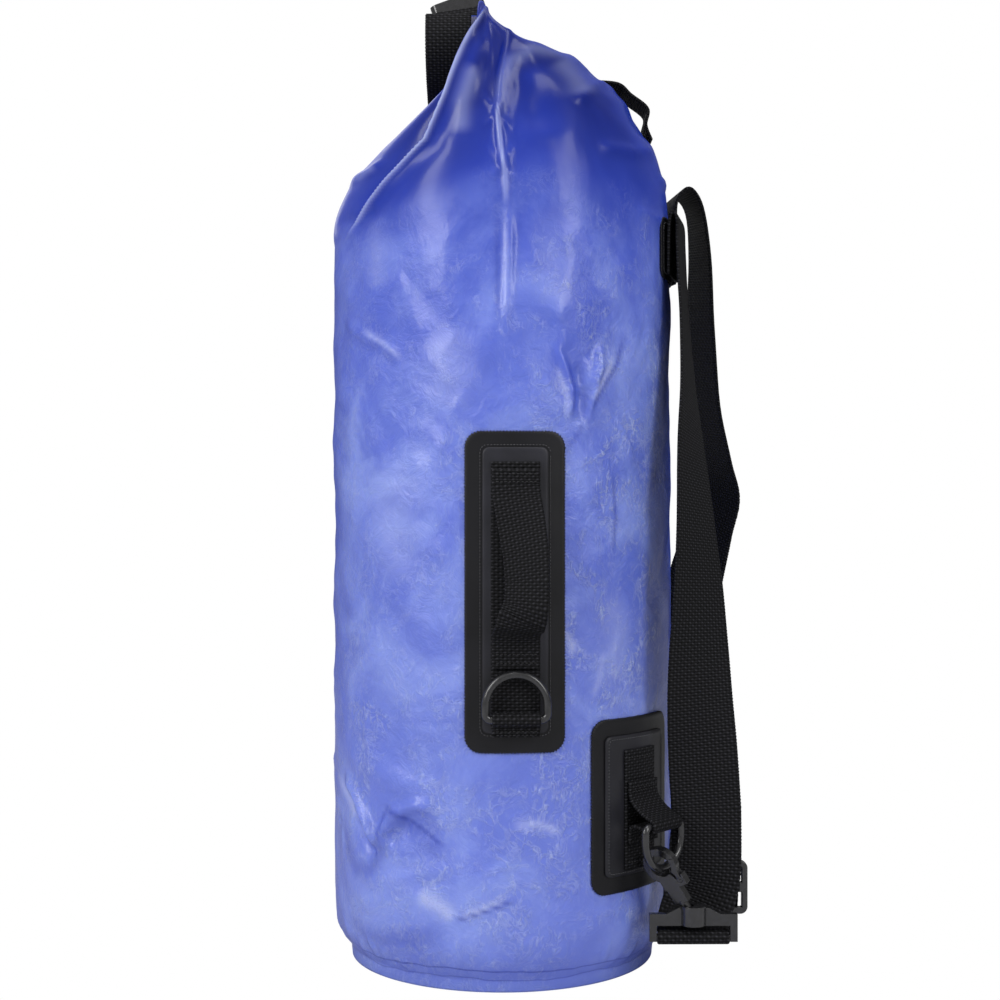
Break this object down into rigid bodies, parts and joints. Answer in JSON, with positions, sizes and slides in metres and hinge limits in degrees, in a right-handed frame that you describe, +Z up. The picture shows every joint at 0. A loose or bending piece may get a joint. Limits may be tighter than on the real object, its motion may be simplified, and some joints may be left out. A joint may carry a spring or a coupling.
{
  "type": "dry bag",
  "caption": "Translucent blue roll-top dry bag worn as a backpack, with side grab handle, D-rings, clip-on shoulder straps and side-release closure.",
  "frame": {"origin": "centre of the round base at its underside", "axes": "+Z up the bag, -Y the front, +Y the strap side worn against the back, +X the side with the grab handle"},
  "size_m": [0.2162, 0.2417, 0.5479],
  "materials": {
    "film": "glossy translucent PVC film",
    "webbing": "woven ribbed webbing",
    "patch_pvc": "satin PVC-coated patch",
    "black_plastic": "satin moulded acetal"
  },
  "bodies": {
    "bag": {"bag_tube": "film", "base_panel": "film", "mouth_roll": "film", "mouth_web": "webbing", "buckle_socket": "black_plastic", "buckle_web_left": "webbing", "buckle_web_right": "webbing", "handle_patch": "patch_pvc", "handle_panel": "patch_pvc", "handle_base_web": "webbing", "handle_ring_loop": "webbing", "grab_handle_top_end": "webbing", "grab_handle_bottom_end": "webbing", "upper_back_patch": "patch_pvc", "haul_loop": "webbing", "shoulder_strap_right": "webbing", "shoulder_strap_left": "webbing", "anchor_patch_right": "patch_pvc", "anchor_panel_right": "patch_pvc", "anchor_web_right": "webbing", "anchor_tab_right": "webbing", "anchor_patch_left": "patch_pvc", "anchor_panel_left": "patch_pvc", "anchor_web_left": "webbing", "anchor_tab_left": "webbing"},
    "plug": {"buckle_plug": "black_plastic"},
    "grab": {"grab_handle": "webbing"},
    "handle_ring": {"handle_d_ring": "black_plastic"},
    "clip_right": {"snap_frame_right": "black_plastic", "strap_loop_right": "webbing"},
    "anchor_ring_right": {"anchor_d_ring_right": "black_plastic"},
    "hook_right": {"snap_hook_right": "black_plastic"},
    "gate_right": {"snap_gate_right": "black_plastic"},
    "adjuster_right": {"strap_adjuster_right": "black_plastic", "strap_end_right": "webbing"},
    "clip_left": {"snap_frame_left": "black_plastic", "strap_loop_left": "webbing"},
    "anchor_ring_left": {"anchor_d_ring_left": "black_plastic"},
    "hook_left": {"snap_hook_left": "black_plastic"},
    "gate_left": {"snap_gate_left": "black_plastic"},
    "adjuster_left": {"strap_adjuster_left": "black_plastic", "strap_end_left": "webbing"}
  },
  "joints": [
    {"name": "buckle_release", "type": "slide", "parent": "bag", "child": "plug", "axis": [1, 0, 0], "range_m": [0, 0.03]},
    {"name": "grab_handle_rock", "type": "hinge", "parent": "bag", "child": "grab", "pos_m": [0.10145, 0.00709, 0.222], "axis": [0, 0, 1], "range_deg": [-15, 15]},
    {"name": "handle_ring_swing", "type": "hinge", "parent": "bag", "child": "handle_ring", "pos_m": [0.10474, 0.00732, 0.1463], "axis": [-0.0698, 0.9976, 0], "range_deg": [0, 165]},
    {"name": "clip_swing_right", "type": "hinge", "parent": "bag", "child": "clip_right", "pos_m": [0.0764, 0.08603, 0.08697], "axis": [0.7477, -0.664, 0], "range_deg": [-3, 12]},
    {"name": "anchor_ring_swing_right", "type": "hinge", "parent": "bag", "child": "anchor_ring_right", "pos_m": [0.0764, 0.08603, 0.08697], "axis": [0.7477, -0.664, 0], "range_deg": [-3, 12]},
    {"name": "hook_swivel_right", "type": "hinge", "parent": "clip_right", "child": "hook_right", "pos_m": [0.0764, 0.102, 0.037], "axis": [0, 0.515, -0.8572], "range_deg": [-18, 18]},
    {"name": "gate_open_right", "type": "hinge", "parent": "hook_right", "child": "gate_right", "pos_m": [0.08058, 0.09502, 0.05928], "axis": [0.7957, -0.5192, -0.3119], "range_deg": [0, 16], "stiffness_Nm_per_rad": 0.02},
    {"name": "adjuster_slide_right", "type": "slide", "parent": "clip_right", "child": "adjuster_right", "axis": [0, 0, 1], "range_m": [0, 0.035]},
    {"name": "clip_swing_left", "type": "hinge", "parent": "bag", "child": "clip_left", "pos_m": [-0.0764, 0.08603, 0.08697], "axis": [0.7477, 0.664, 0], "range_deg": [-3, 12]},
    {"name": "anchor_ring_swing_left", "type": "hinge", "parent": "bag", "child": "anchor_ring_left", "pos_m": [-0.0764, 0.08603, 0.08697], "axis": [0.7477, 0.664, 0], "range_deg": [-3, 12]},
    {"name": "hook_swivel_left", "type": "hinge", "parent": "clip_left", "child": "hook_left", "pos_m": [-0.0764, 0.102, 0.037], "axis": [0, -0.515, 0.8572], "range_deg": [-18, 18]},
    {"name": "gate_open_left", "type": "hinge", "parent": "hook_left", "child": "gate_left", "pos_m": [-0.08058, 0.09502, 0.05928], "axis": [0.7957, 0.5192, 0.3119], "range_deg": [0, 16], "stiffness_Nm_per_rad": 0.02},
    {"name": "adjuster_slide_left", "type": "slide", "parent": "clip_left", "child": "adjuster_left", "axis": [0, 0, 1], "range_m": [0, 0.035]}
  ],
  "couplings": [
    {"joint": "anchor_ring_swing_right", "follows": "clip_swing_right", "ratio": 1},
    {"joint": "anchor_ring_swing_left", "follows": "clip_swing_left", "ratio": 1}
  ]
}
